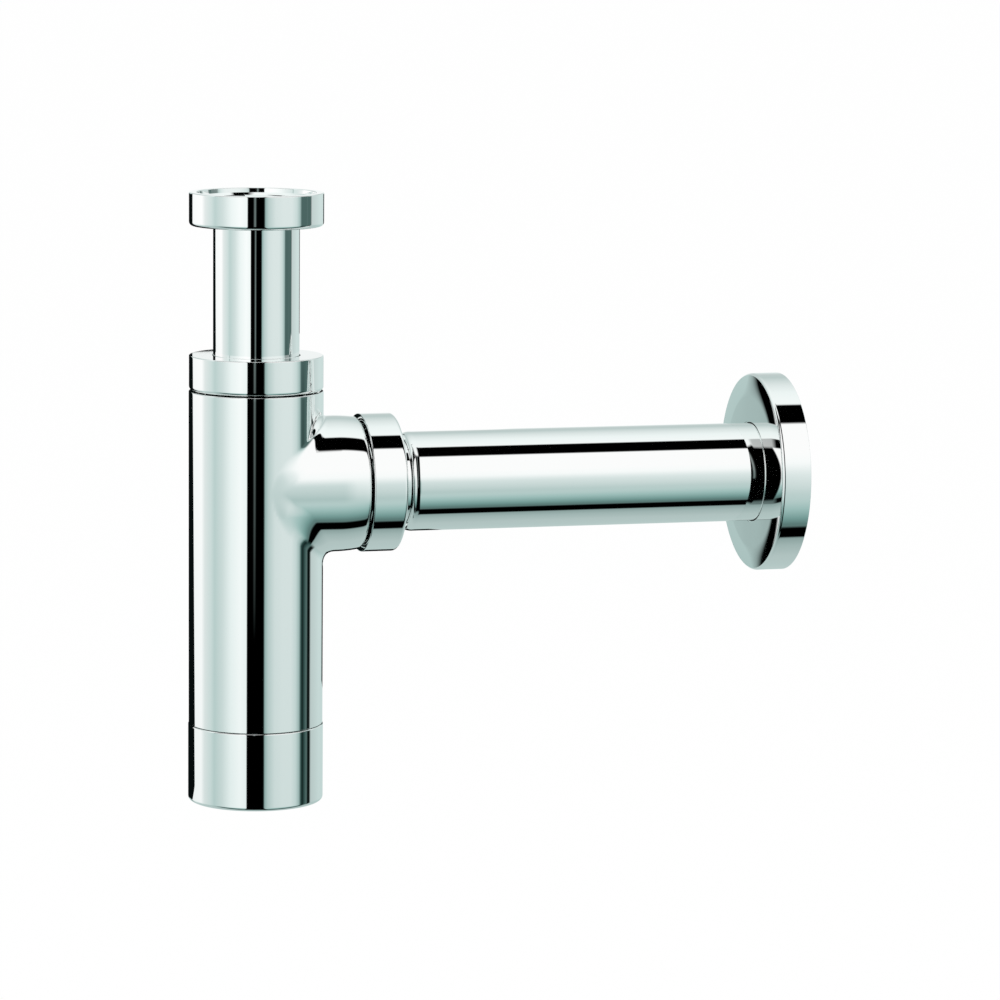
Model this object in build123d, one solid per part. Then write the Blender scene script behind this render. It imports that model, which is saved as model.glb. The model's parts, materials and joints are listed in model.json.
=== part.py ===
from build123d import *
import os

# Chromed bottle trap for a basin waste, in millimetres.
# The origin is on the body's upright axis, on the upper face of the inlet gasket, where the waste's tail seals.
# +Z is up and +X runs out along the outlet, towards the wall.

# Standard sizes of the pipework: 32 mm tube and G 1 1/4 pipe thread.
pipe_dia = 32.0
pipe_wall = 1.0
thread_dia = 41.91
thread_depth = 1.479
thread_pitch = 2.309

# Clearances.
thread_gap = 0.05  # radial, in a screwed pair
grip_gap = 0.05  # radial, between a seal and the tube it grips
pipe_gap = 0.3  # radial, between a tube and the metal round it
seat_gap = 0.05  # between two faces that are clamped together
ring_gap = 0.3  # radial, between a ring and the thread crests it is put in through

# Where the main parts stand.
outlet_drop = 103.0  # gasket face down to the outlet's axis
body_above_outlet = 35.5  # outlet's axis up to the body's top shoulder
body_below_outlet = 89.2  # outlet's axis down to the cup's seam
water_seal = 70.0  # outlet's invert down to the foot of the dip tube

# Union nuts: a round cap with a hole in its floor, screwed on by hand.
nut_dia = 49.8
outlet_nut_dia = 51.8
nut_floor = 2.2
inlet_nut_height = 12.4
joint_nut_height = 13.0
nut_mouth_depth = 1.8  # plain mouth that guides the nut on before its thread starts
nut_mouth_chamfer = 0.9
nut_relief = 0.4  # radial, run-out groove where the thread meets the floor
joint_nut_relief_height = 2.0
nut_edge_round = 1.5
nut_edge_break = 0.4
nut_seam = 0.3  # open line between a nut and the shoulder under it

# Rings in the inlet union.
gasket_thickness = 2.0
flare_thickness = 1.2
inlet_ring_thickness = 0.8
tube_mouth_round = 0.5

# Compression joint: a male neck with a tapered mouth, a tapered seal and a slip ring under the nut.
neck_turns = 3.25
seat_depth = 4.0
neck_lip = 1.65  # wall left round the mouth of the taper
joint_ring_thickness = 1.2
seal_reach = 3.2  # how far the seal's cone goes into the neck

# Body: one casting with the branch and both necks.
body_dia = 50.0
body_wall = 2.5
body_roof = 3.0
body_edge_break = 0.4
branch_root_dia = 49.8
branch_end_dia = 51.4
branch_reach = 39.0  # body's axis to the branch's shoulder
branch_wall = 3.8
branch_end_wall = 10.0
branch_edge_round = 1.5
branch_fillet = 3.0
stop_width = 1.5
stop_step = 1.2  # radial, how far the pipe stop stands in

# Cup: screws up over a spigot below the body and is taken off to clean the trap.
cup_dia = 50.4
cup_height = 29.2
cup_floor = 2.5
cup_wall = 3.6
cup_seam = 0.2
cup_edge_round = 1.5
cup_edge_break = 0.3
cup_well_round = 3.0
spigot_dia = 46.0
spigot_wall = 2.0
spigot_step = 8.0  # height of the thicker wall above the cup's seam
cup_pitch = 1.5
cup_turns = 6.0
o_ring_section = 1.8

# Outlet pipe and the cover sleeve that hides it.
outlet_pipe_length = 180.0
sleeve_dia = 37.4
sleeve_wall = 0.7
sleeve_start = 56.0  # body's axis to the sleeve's turned-in end
sleeve_length = 148.5
sleeve_end_round = 2.0
fold_limit = 0.9  # most of the turned-in end that its rounding may take
sleeve_ring_width = 4.0
sleeve_ring_inset = 10.0  # sleeve's turned-in end to the front guide ring
sleeve_ring_spacing = 110.0

# Wall flange: a spun shell with a collar that holds a rubber grip ring.
flange_dia = 75.4
flange_depth = 11.7
flange_wall = 0.8
flange_face = 193.5  # body's axis to the face of the flange
flange_edge_round = 1.4
flange_crown_width = 9.0  # outer band of the face that falls away to the edge
flange_crown_drop = 0.4
flange_hole_round = 0.4
flange_collar_length = 5.0
flange_ring_width = 4.0
flange_ring_section = 1.1

# Sizes that follow from the ones above.
pipe_r = pipe_dia / 2
pipe_bore_r = pipe_r - pipe_wall
bore_r = pipe_r + pipe_gap
thread_r = thread_dia / 2
nut_thread_r = thread_r + thread_gap
gasket_dia = thread_dia - 2 * (thread_depth + ring_gap)
gasket_r = gasket_dia / 2
body_r = body_dia / 2
chamber_r = body_r - body_wall
spigot_r = spigot_dia / 2
cup_r = cup_dia / 2
sleeve_r = sleeve_dia / 2
sleeve_bore_r = sleeve_r - sleeve_wall
flange_r = flange_dia / 2
neck_length = neck_turns * thread_pitch
seat_mouth_r = thread_r - neck_lip
spigot_length = cup_turns * cup_pitch
outlet_z = -outlet_drop
body_top = outlet_z + body_above_outlet
body_bottom = outlet_z - body_below_outlet
flare_top = -gasket_thickness
inlet_ring_top = flare_top - flare_thickness - seat_gap
inlet_nut_bottom = inlet_ring_top - inlet_ring_thickness - seat_gap - nut_floor
tube_foot = outlet_z - pipe_bore_r - water_seal
pipe_start = branch_reach - branch_end_wall + stop_width + seat_gap
pick = 0.01  # how near an edge must lie to be the one that is meant


def spun(outline):
    """Solid turned about the Z axis from a closed outline drawn as (radius, height)."""
    return revolve(Plane.XZ * make_face(outline), Axis.Z)


def turned(points):
    """Solid turned about the Z axis from a closed outline of (radius, height) points."""
    return spun(Polyline(points, close=True))


def rings_at(solid, radius, height):
    """Circular edges of a turned solid at one radius and height."""
    circles = solid.edges().filter_by(GeomType.CIRCLE)
    return [e for e in circles if abs(e.radius - radius) < pick and abs(e.arc_center.Z - height) < pick]


def rounded(solid, radius, height, size):
    """The turned solid with one of its circular edges rounded."""
    return fillet(rings_at(solid, radius, height), size)


def along_outlet(solid):
    """Lays a solid that was turned about Z on the outlet's axis: its height becomes the distance along +X."""
    return Pos(0, 0, outlet_z) * Rot(0, 90, 0) * solid


def tube(outer_r, inner_r, low, high):
    """Plain tube or ring between two heights."""
    return turned([(inner_r, low), (outer_r, low), (outer_r, high), (inner_r, high)])


def union_nut(outer_r, height, relief_top, mouth_round, floor_round):
    """Nut that stands on its floor with its mouth up. The thread is drawn as its full diameter."""
    nut = turned([
        (bore_r, 0),
        (outer_r, 0),
        (outer_r, height),
        (nut_thread_r + nut_mouth_chamfer, height),
        (nut_thread_r + nut_mouth_chamfer, height - nut_mouth_depth),
        (nut_thread_r, height - nut_mouth_depth - nut_mouth_chamfer),
        (nut_thread_r, relief_top),
        (nut_thread_r + nut_relief, relief_top),
        (nut_thread_r + nut_relief, nut_floor),
        (bore_r, nut_floor),
    ])
    nut = rounded(nut, outer_r, 0, floor_round)
    return rounded(nut, outer_r, height, mouth_round)


def mouth_down(nut, shoulder):
    """Turns a nut over so that its mouth closes on a shoulder at this height."""
    return Pos(0, 0, shoulder + nut_seam + joint_nut_height) * Rot(180, 0, 0) * nut


def joint_slip_ring(shoulder):
    """Flat ring under the nut's floor, so that the turning nut doesn't drag the seal."""
    top = shoulder + nut_seam + joint_nut_height - nut_floor - seat_gap
    return tube(gasket_r, bore_r, top - joint_ring_thickness, top)


def joint_seal(shoulder):
    """Tapered seal: its cone sits in the neck's mouth and its bore grips the tube."""
    top = shoulder + nut_seam + joint_nut_height - nut_floor - joint_ring_thickness - 2 * seat_gap
    mouth = shoulder + neck_length
    slope = (seat_mouth_r - bore_r) / seat_depth
    rim_r = seat_mouth_r - seat_gap
    toe_r = rim_r - slope * seal_reach
    inner_r = pipe_r + grip_gap
    return turned([
        (inner_r, mouth - seal_reach),
        (toe_r, mouth - seal_reach),
        (rim_r, mouth),
        (rim_r, top),
        (inner_r, top),
    ])


def neck_bore(shoulder, start):
    """Cutter for a neck: a bore round the tube that opens into the seal's taper."""
    mouth = shoulder + neck_length
    beyond = mouth + seat_depth
    return turned([
        (0, start),
        (bore_r, start),
        (bore_r, mouth - seat_depth),
        (seat_mouth_r, mouth),
        (seat_mouth_r, beyond),
        (0, beyond),
    ])


def trap_body():
    """Casting: upright barrel, branch blended into its side, and a threaded neck at the top and on the branch."""
    barrel = turned([
        (0, body_bottom - spigot_length),
        (spigot_r, body_bottom - spigot_length),
        (spigot_r, body_bottom),
        (body_r, body_bottom),
        (body_r, body_top),
        (thread_r, body_top),
        (thread_r, body_top + neck_length),
        (0, body_top + neck_length),
    ])
    barrel = rounded(barrel, body_r, body_top, body_edge_break)
    barrel = rounded(barrel, body_r, body_bottom, cup_edge_break)
    branch = turned([
        (0, 0),
        (branch_root_dia / 2, 0),
        (branch_end_dia / 2, branch_reach),
        (thread_r, branch_reach),
        (thread_r, branch_reach + neck_length),
        (0, branch_reach + neck_length),
    ])
    branch = rounded(branch, branch_end_dia / 2, branch_reach, branch_edge_round)
    outer = barrel + along_outlet(branch)
    crotch = [e for e in outer.edges() if e.geom_type not in (GeomType.LINE, GeomType.CIRCLE)]
    outer = fillet(crotch, branch_fillet)

    chamber = turned([
        (0, body_bottom - spigot_length),
        (spigot_r - spigot_wall, body_bottom - spigot_length),
        (spigot_r - spigot_wall, body_bottom + spigot_step),
        (chamber_r, body_bottom + spigot_step + body_r - spigot_r),
        (chamber_r, body_top - body_roof),
        (0, body_top - body_roof),
    ])
    core_end = branch_reach - branch_end_wall
    core = turned([
        (0, 0),
        (branch_root_dia / 2 - branch_wall, 0),
        (branch_root_dia / 2 - branch_wall, core_end),
        (bore_r - stop_step, core_end),
        (bore_r - stop_step, core_end + stop_width),
        (0, core_end + stop_width),
    ])
    body = outer - chamber - along_outlet(core)
    body -= neck_bore(body_top, body_top - body_roof)
    body -= along_outlet(neck_bore(branch_reach, core_end + stop_width))
    return body


def dip_tube():
    """Tube that carries the waste down into the water, with a flared collar that the inlet nut pulls on."""
    pipe = turned([
        (pipe_bore_r, tube_foot),
        (pipe_r, tube_foot),
        (pipe_r, flare_top - flare_thickness),
        (gasket_r, flare_top - flare_thickness),
        (gasket_r, flare_top),
        (pipe_bore_r, flare_top),
    ])
    return rounded(pipe, pipe_bore_r, flare_top, tube_mouth_round)


def cup():
    """Cleaning cup: threaded wall, a ledge for the O-ring and a rounded well under it."""
    rim = body_bottom - cup_seam
    foot = rim - cup_height
    ledge = body_bottom - spigot_length - o_ring_section - 2 * seat_gap
    well_r = cup_r - cup_wall
    shell = turned([
        (0, foot),
        (cup_r, foot),
        (cup_r, rim),
        (spigot_r + thread_gap, rim),
        (spigot_r + thread_gap, ledge),
        (well_r, ledge),
        (well_r, foot + cup_floor),
        (0, foot + cup_floor),
    ])
    shell = rounded(shell, cup_r, foot, cup_edge_round)
    shell = rounded(shell, cup_r, rim, cup_edge_break)
    return rounded(shell, well_r, foot + cup_floor, cup_well_round)


def cup_o_ring():
    """O-ring clamped between the spigot's end and the cup's ledge."""
    section_r = o_ring_section / 2
    centre = body_bottom - spigot_length - seat_gap - section_r
    return Pos(0, 0, centre) * Torus(spigot_r - spigot_wall / 2, section_r)


def cover_sleeve():
    """Thin sleeve over the outlet pipe, turned in at the end by the nut."""
    end = sleeve_start + sleeve_length
    shell = turned([
        (bore_r, sleeve_start),
        (sleeve_r, sleeve_start),
        (sleeve_r, end),
        (sleeve_bore_r, end),
        (sleeve_bore_r, sleeve_start + sleeve_wall),
        (bore_r, sleeve_start + sleeve_wall),
    ])
    outer_round = min(sleeve_end_round, fold_limit * (sleeve_r - bore_r))
    inner_round = min(sleeve_end_round - sleeve_wall, fold_limit * abs(sleeve_bore_r - bore_r))
    shell = rounded(shell, sleeve_r, sleeve_start, outer_round)
    return rounded(shell, sleeve_bore_r, sleeve_start + sleeve_wall, inner_round)


def sleeve_ring(start):
    """Guide ring that centres the sleeve on the pipe."""
    return tube(sleeve_bore_r - grip_gap, pipe_r + grip_gap, start, start + sleeve_ring_width)


def wall_flange():
    """Flange with a softly crowned face, a rim back to the wall and a collar behind the face."""
    face_back = flange_face + flange_wall
    rim_end = flange_face + flange_depth
    edge = flange_face + flange_crown_drop
    crown_r = flange_r - flange_crown_width
    hole_r = sleeve_r + pipe_gap
    collar_r = sleeve_r + grip_gap + flange_ring_section + grip_gap
    crown = TangentArc((crown_r, flange_face), (flange_r, edge), tangent=(1, 0))
    rest = Polyline(
        (flange_r, edge),
        (flange_r, rim_end),
        (flange_r - flange_wall, rim_end),
        (flange_r - flange_wall, edge + flange_wall),
        (crown_r, face_back),
        (collar_r + flange_wall, face_back),
        (collar_r + flange_wall, face_back + flange_collar_length),
        (collar_r, face_back + flange_collar_length),
        (collar_r, face_back),
        (hole_r, face_back),
        (hole_r, flange_face),
        (crown_r, flange_face),
    )
    shell = spun(crown + rest)
    shell = rounded(shell, flange_r, edge, flange_edge_round)
    return rounded(shell, hole_r, flange_face, min(flange_hole_round, fold_limit * flange_wall))


def flange_ring():
    """Rubber ring in the collar, which holds the flange where it is pushed."""
    start = flange_face + flange_wall + seat_gap
    inner_r = sleeve_r + grip_gap
    return tube(inner_r + flange_ring_section, inner_r, start, start + flange_ring_width)


nut_r = nut_dia / 2
outlet_nut_r = outlet_nut_dia / 2
joint_relief_top = nut_floor + joint_nut_relief_height
inlet_nut = union_nut(nut_r, inlet_nut_height, -inlet_nut_bottom, nut_edge_break, nut_edge_round)
top_nut = union_nut(nut_r, joint_nut_height, joint_relief_top, nut_edge_round, nut_edge_break)
outlet_nut = union_nut(outlet_nut_r, joint_nut_height, joint_relief_top, nut_edge_break, nut_edge_round)
front_ring_start = sleeve_start + sleeve_ring_inset

parts = {
    "trap_body": trap_body(),
    "dip_tube": dip_tube(),
    "inlet_gasket": tube(gasket_r, pipe_bore_r, flare_top, 0),
    "inlet_slip_ring": tube(gasket_r, pipe_r + grip_gap, inlet_ring_top - inlet_ring_thickness, inlet_ring_top),
    "inlet_nut": Pos(0, 0, inlet_nut_bottom) * inlet_nut,
    "top_seal": joint_seal(body_top),
    "top_slip_ring": joint_slip_ring(body_top),
    "top_nut": mouth_down(top_nut, body_top),
    "cup": cup(),
    "cup_o_ring": cup_o_ring(),
    "outlet_seal": along_outlet(joint_seal(branch_reach)),
    "outlet_slip_ring": along_outlet(joint_slip_ring(branch_reach)),
    "outlet_nut": along_outlet(mouth_down(outlet_nut, branch_reach)),
    "outlet_pipe": along_outlet(tube(pipe_r, pipe_bore_r, pipe_start, pipe_start + outlet_pipe_length)),
    "cover_sleeve": along_outlet(cover_sleeve()),
    "sleeve_ring_front": along_outlet(sleeve_ring(front_ring_start)),
    "sleeve_ring_rear": along_outlet(sleeve_ring(front_ring_start + sleeve_ring_spacing)),
    "wall_flange": along_outlet(wall_flange()),
    "flange_ring": along_outlet(flange_ring()),
}

os.makedirs("parts", exist_ok=True)
for name, solid in parts.items():
    export_step(solid, f"parts/{name}.step")
    print(name, round(solid.volume), "cubic mm")
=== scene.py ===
"""Looks of a chromed bottle trap for a basin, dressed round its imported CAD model.

The scene is in metres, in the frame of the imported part: +Z runs up the dip tube, +X out along the outlet
pipe, and the origin is on the barrel's axis at the upper face of the inlet gasket. The sizes of the pieces
are in millimetres, and the lathe turns them into metres. Those of the studio are in metres.
"""
import json
import logging
import math
from collections.abc import Callable
from dataclasses import dataclass, field
from enum import Enum

import bpy
import numpy as np
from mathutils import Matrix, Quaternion, Vector

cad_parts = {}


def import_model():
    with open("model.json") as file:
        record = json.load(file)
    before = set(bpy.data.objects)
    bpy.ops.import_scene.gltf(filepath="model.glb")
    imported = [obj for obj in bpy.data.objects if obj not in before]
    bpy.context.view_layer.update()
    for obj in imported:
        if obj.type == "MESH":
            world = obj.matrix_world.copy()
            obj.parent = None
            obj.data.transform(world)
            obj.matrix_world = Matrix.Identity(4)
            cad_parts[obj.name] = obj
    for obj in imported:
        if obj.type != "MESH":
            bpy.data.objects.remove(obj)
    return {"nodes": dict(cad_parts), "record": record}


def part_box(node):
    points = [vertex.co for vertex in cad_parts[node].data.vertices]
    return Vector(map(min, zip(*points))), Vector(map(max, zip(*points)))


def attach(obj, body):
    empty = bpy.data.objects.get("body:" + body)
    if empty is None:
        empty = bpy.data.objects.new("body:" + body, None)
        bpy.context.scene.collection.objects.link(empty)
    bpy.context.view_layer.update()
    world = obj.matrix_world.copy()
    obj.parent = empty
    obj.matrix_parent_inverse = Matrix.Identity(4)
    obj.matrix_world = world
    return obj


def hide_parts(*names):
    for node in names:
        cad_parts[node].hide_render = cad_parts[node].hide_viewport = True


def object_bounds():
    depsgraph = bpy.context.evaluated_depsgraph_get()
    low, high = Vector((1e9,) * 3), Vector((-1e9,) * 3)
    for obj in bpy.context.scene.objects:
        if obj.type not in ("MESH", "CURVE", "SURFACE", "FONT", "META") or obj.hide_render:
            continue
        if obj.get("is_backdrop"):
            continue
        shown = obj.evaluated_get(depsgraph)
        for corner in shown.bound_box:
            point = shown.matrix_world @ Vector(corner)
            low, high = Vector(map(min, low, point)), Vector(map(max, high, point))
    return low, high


log = logging.getLogger("bottle_trap")

Colour = tuple[float, float, float]
Stops = list[tuple[float, Colour]]
Outline = list[tuple[float, float]]
Source = bpy.types.NodeSocket | float | Colour
MM = 0.001
MERGE_UNDER = 0.002 * MM
SMOOTH_UNDER = math.radians(32)
LARGE_FACES_FIRST = 100
BLUE_TINT = 0.12


class Slot(Enum):
    """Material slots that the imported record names."""

    CHROME = "chrome"
    RUBBER = "seal_rubber"
    PLASTIC = "ring_plastic"


class Mouth(Enum):
    """Which way a nut's mouth looks along the axis it is turned about."""

    UP = 1.0
    DOWN = -1.0


class Side(Enum):
    """Whether a thread stands out from a neck or into a nut."""

    OUTER = 1.0
    INNER = -1.0


def linear(shade: float) -> float:
    """Linear light of a display value from 0 to 1, by the sRGB curve."""
    return shade / 12.92 if shade <= 0.04045 else ((shade + 0.055) / 1.055) ** 2.4


def grey(level: float, tint: float = 0.0) -> Colour:
    """Linear colour of a display grey, made greener by a tint taken off its red and partly off its blue."""
    return linear(level - tint), linear(level), linear(level - BLUE_TINT * tint)


def eased(corners: Outline, rounds: dict[int, float], steps: int = 6) -> Outline:
    """Rounds chosen corners of a closed outline.

    Args:
        corners: Corner points in order.
        rounds: Radius for the corner at each index.
        steps: Stretches in each arc.

    Returns:
        The outline with an arc in place of each chosen corner.
    """
    outline: Outline = []
    for index, corner in enumerate(corners):
        if index not in rounds:
            outline.append(corner)
            continue
        tip = Vector(corner)
        back = (Vector(corners[index - 1]) - tip).normalized()
        ahead = (Vector(corners[(index + 1) % len(corners)]) - tip).normalized()
        half = back.angle(ahead) / 2
        centre = tip + (back + ahead).normalized() * rounds[index] / math.sin(half)
        first = tip + back * rounds[index] / math.tan(half) - centre
        last = tip + ahead * rounds[index] / math.tan(half) - centre
        sweep = math.pi - 2 * half
        for step in range(steps + 1):
            share = step / steps
            point = first * math.sin((1 - share) * sweep) + last * math.sin(share * sweep)
            outline.append(tuple(centre + point / math.sin(sweep)))
    return outline


def divided(low: float, high: float, count: int) -> list[float]:
    """Evenly spaced heights from one to the other, both ends included."""
    return [low + (high - low) * step / count for step in range(count + 1)]


def only(piece: bpy.types.Object) -> bpy.types.Object:
    """Selects one object and makes it active.

    Args:
        piece: The object to work on.

    Returns:
        The same object.
    """
    bpy.ops.object.select_all(action="DESELECT")
    piece.select_set(True)
    bpy.context.view_layer.objects.active = piece
    return piece


@dataclass(frozen=True)
class ThreadForm:
    """Screw thread with slanting flanks and slightly rounded crests, in millimetres."""

    radius: float
    pitch: float
    gap: float = 0.05
    depth_share: float = 0.6405
    crest_width: float = 0.17
    flank: float = math.radians(27.5)
    flank_play: float = 0.06
    sink: float = 0.12
    crest_round: float = 0.1
    steps_per_turn: int = 72

    @property
    def depth(self) -> float:
        """Height of a ridge from core to crest."""
        return self.depth_share * self.pitch

    @property
    def core(self) -> float:
        """Radius of a neck between its ridges."""
        return self.radius - self.depth

    @property
    def wall(self) -> float:
        """Radius of a nut between its ridges."""
        return self.radius + self.gap

    def widths(self, side: Side) -> tuple[float, float]:
        """Widths of a ridge.

        Args:
            side: Whether the thread is on a neck or in a nut.

        Returns:
            Its width at the wall it stands on, sunk in a little, and at its crest.
        """
        slope = 2 * math.tan(self.flank)
        outer_root = self.crest_width * self.pitch + slope * self.depth
        if side is Side.OUTER:
            return outer_root + slope * self.sink, self.crest_width * self.pitch
        root = self.pitch - self.crest_width * self.pitch - self.flank_play * 2 + slope * self.gap
        return root + slope * self.sink, root - slope * self.depth


@dataclass(frozen=True)
class Lathe:
    """Makes turned pieces about the Z axis: outlines spun ring by ring, and threads wound along them."""

    segments: int = 192

    def turn(self, name: str, outline: Outline, closed: bool = True) -> bpy.types.Object:
        """Turns an outline into a ring or a solid.

        Args:
            name: Name of the new object.
            outline: Radius and height of each ring in turn.
            closed: Whether the last ring joins the first. Otherwise both ends are capped.

        Returns:
            The turned object, in metres.
        """
        bpy.ops.object.select_all(action="DESELECT")
        radius, height = outline[0]
        bpy.ops.mesh.primitive_circle_add(vertices=self.segments, radius=radius * MM)
        piece = bpy.context.object
        piece.name = piece.data.name = name
        bpy.ops.object.mode_set(mode="EDIT")
        bpy.ops.mesh.select_all(action="SELECT")
        bpy.ops.transform.translate(value=(0, 0, height * MM))
        for next_radius, next_height in outline[1:] + (outline[:1] if closed else []):
            rise = (next_height - height) * MM
            bpy.ops.mesh.extrude_edges_move(TRANSFORM_OT_translate={"value": (0, 0, rise)})
            ratio = next_radius / radius
            bpy.ops.transform.resize(value=(ratio, ratio, 1), center_override=(0, 0, next_height * MM))
            radius, height = next_radius, next_height
        bpy.ops.mesh.select_all(action="SELECT")
        bpy.ops.mesh.remove_doubles(threshold=MERGE_UNDER)
        self.close_up(capped=not closed)
        return piece

    def wind(self, name: str, thread: ThreadForm, side: Side, start: float,
             turns: float) -> bpy.types.Object:
        """Winds a right-hand ridge about the Z axis.

        Args:
            name: Name of the new object.
            thread: Form of the thread.
            side: Whether it stands out from a neck or into a nut.
            start: Height of the ridge's middle where it begins, on the +X side.
            turns: How many turns it makes.

        Returns:
            The ridge as a closed object, in metres.
        """
        root, crest = thread.widths(side)
        foot = thread.core - thread.sink if side is Side.OUTER else thread.wall + thread.sink
        tall = thread.depth + thread.sink
        bpy.ops.object.select_all(action="DESELECT")
        bpy.ops.mesh.primitive_plane_add(size=1.0)
        piece = bpy.context.object
        piece.name = piece.data.name = name
        bpy.ops.object.mode_set(mode="EDIT")
        bpy.ops.transform.rotate(value=math.pi / 2, orient_axis="X", center_override=(0, 0, 0))
        bpy.ops.transform.resize(value=(tall * MM, 1, root * MM), center_override=(0, 0, 0))
        self.pick_points(piece, lambda place: place.x * side.value > 0)
        bpy.ops.transform.resize(value=(1, 1, crest / root), center_override=(0, 0, 0))
        bpy.ops.mesh.bevel(offset=thread.crest_round * MM, segments=2, affect="VERTICES")
        bpy.ops.mesh.select_all(action="SELECT")
        bpy.ops.transform.translate(value=((foot + side.value * tall / 2) * MM, 0, start * MM))
        bpy.ops.mesh.delete(type="ONLY_FACE")
        bpy.ops.object.mode_set(mode="OBJECT")
        screw = piece.modifiers.new("wind", "SCREW")
        screw.angle = math.tau * turns
        screw.screw_offset = thread.pitch * turns * MM
        screw.steps = screw.render_steps = round(turns * thread.steps_per_turn)
        bpy.ops.object.modifier_apply(modifier=screw.name)
        bpy.ops.object.mode_set(mode="EDIT")
        self.close_up(capped=True)
        return piece

    @staticmethod
    def close_up(capped: bool) -> None:
        """Points the faces of the piece in edit mode outwards and leaves that mode.

        Args:
            capped: Whether its open ends are filled first.
        """
        if capped:
            bpy.ops.mesh.select_all(action="DESELECT")
            bpy.ops.mesh.select_non_manifold()
            bpy.ops.mesh.fill_holes(sides=0)
            bpy.ops.mesh.select_all(action="SELECT")
        bpy.ops.mesh.normals_make_consistent(inside=False)
        bpy.ops.object.mode_set(mode="OBJECT")

    @staticmethod
    def pick_points(piece: bpy.types.Object, wanted: Callable[[Vector], bool]) -> None:
        """Selects, in edit mode, only the vertices whose place passes a test.

        Args:
            piece: The piece in edit mode.
            wanted: The test, which is given a vertex's place.
        """
        bpy.ops.mesh.select_mode(type="VERT")
        bpy.ops.mesh.select_all(action="DESELECT")
        bpy.ops.object.mode_set(mode="OBJECT")
        for vertex in piece.data.vertices:
            vertex.select = wanted(vertex.co)
        bpy.ops.object.mode_set(mode="EDIT")

    @staticmethod
    def polish(piece: bpy.types.Object) -> None:
        """Shades a piece smooth between its edges, with the large faces deciding the normals."""
        only(piece)
        bpy.ops.object.shade_smooth_by_angle(angle=SMOOTH_UNDER)
        weigh = piece.modifiers.new("weigh", "WEIGHTED_NORMAL")
        weigh.keep_sharp = True
        weigh.weight = LARGE_FACES_FIRST
        bpy.ops.object.modifier_apply(modifier=weigh.name)

    @staticmethod
    def lay_on_outlet(piece: bpy.types.Object, outlet_z: float) -> None:
        """Lays a piece that was turned about Z along the outlet, so that its height runs along +X.

        Args:
            piece: The turned piece.
            outlet_z: Height of the outlet's axis.
        """
        only(piece)
        piece.rotation_euler = (0, math.pi / 2, 0)
        piece.location = (0, 0, outlet_z * MM)
        bpy.ops.object.transform_apply(location=True, rotation=True, scale=True)


@dataclass
class Graph:
    """Small helper that adds and joins nodes of one node tree."""

    tree: bpy.types.NodeTree

    def add(self, kind: str, **settings: object) -> bpy.types.Node:
        """Adds a node and sets its properties."""
        node = self.tree.nodes.new(kind)
        for name, value in settings.items():
            setattr(node, name, value)
        return node

    def feed(self, target: bpy.types.NodeSocket, source: Source) -> None:
        """Joins a socket to the target, or sets the target to a plain value."""
        if isinstance(source, bpy.types.NodeSocket):
            self.tree.links.new(source, target)
        else:
            target.default_value = source

    def math(self, operation: str, *values: Source) -> bpy.types.NodeSocket:
        """Adds a Math node.

        Args:
            operation: The node's operation.
            values: Sockets or numbers for its inputs.

        Returns:
            The node's output.
        """
        node = self.add("ShaderNodeMath", operation=operation)
        for socket, value in zip(node.inputs, values):
            self.feed(socket, value)
        return node.outputs[0]

    def times(self, *colours: Source) -> bpy.types.NodeSocket:
        """Multiplies colours without holding them under 1.

        Args:
            colours: Sockets or plain colours.

        Returns:
            Their product.
        """
        product = colours[0]
        for colour in colours[1:]:
            node = self.add("ShaderNodeVectorMath", operation="MULTIPLY")
            self.feed(node.inputs[0], product)
            self.feed(node.inputs[1], colour)
            product = node.outputs[0]
        return product

    def ramp(self, factor: bpy.types.NodeSocket, stops: Stops) -> bpy.types.NodeSocket:
        """Adds a colour ramp over a full turn.

        Args:
            factor: Where on the ramp to read, from 0 at -180 degrees to 1 at 180.
            stops: Angles in degrees with their linear colours.

        Returns:
            The ramp's colour.
        """
        node = self.add("ShaderNodeValToRGB")
        elements = node.color_ramp.elements
        while len(elements) < len(stops):
            elements.new(1.0)
        for element, (angle, colour) in zip(elements, stops):
            element.position = angle / 360 + 0.5
            element.color = (*colour, 1.0)
        self.feed(node.inputs["Fac"], factor)
        return node.outputs["Color"]

    def share(self, angle: Source) -> bpy.types.NodeSocket:
        """Angle in radians as a ramp's factor, a share of a turn with 0.5 at no angle."""
        return self.math("ADD", self.math("DIVIDE", angle, math.tau), 0.5)

    def turns(self, upward: Source, along: Source) -> bpy.types.NodeSocket:
        """Angle of a direction as a ramp's factor, with 0.5 along its second part."""
        return self.share(self.math("ARCTAN2", upward, along))

    def spread(self, value: Source, low: float, high: float, to_low: Source, to_high: Source,
               smooth: bool = False) -> bpy.types.NodeSocket:
        """Adds a Map Range node from one range to another.

        Args:
            value: The value that is mapped.
            low: Start of the range that it is read in.
            high: End of that range.
            to_low: Result at the start.
            to_high: Result at the end.
            smooth: Whether the ends are eased.

        Returns:
            The mapped value.
        """
        node = self.add("ShaderNodeMapRange", interpolation_type="SMOOTHSTEP" if smooth else "LINEAR")
        for name, given in (("Value", value), ("From Min", low), ("From Max", high),
                            ("To Min", to_low), ("To Max", to_high)):
            self.feed(node.inputs[name], given)
        return node.outputs["Result"]

    def mix(self, kind: str, factor: Source, first: Source, second: Source) -> bpy.types.NodeSocket:
        """Adds a colour Mix node.

        Args:
            kind: Blend type.
            factor: How much of the second colour is used.
            first: First colour.
            second: Second colour.

        Returns:
            The mixed colour.
        """
        node = self.add("ShaderNodeMix", data_type="RGBA", blend_type=kind)
        self.feed(node.inputs["Factor"], factor)
        sockets = [socket for socket in node.inputs if socket.type == "RGBA"]
        for socket, colour in zip(sockets, (first, second)):
            self.feed(socket, (*colour, 1.0) if isinstance(colour, tuple) else colour)
        return next(socket for socket in node.outputs if socket.type == "RGBA")


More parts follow.
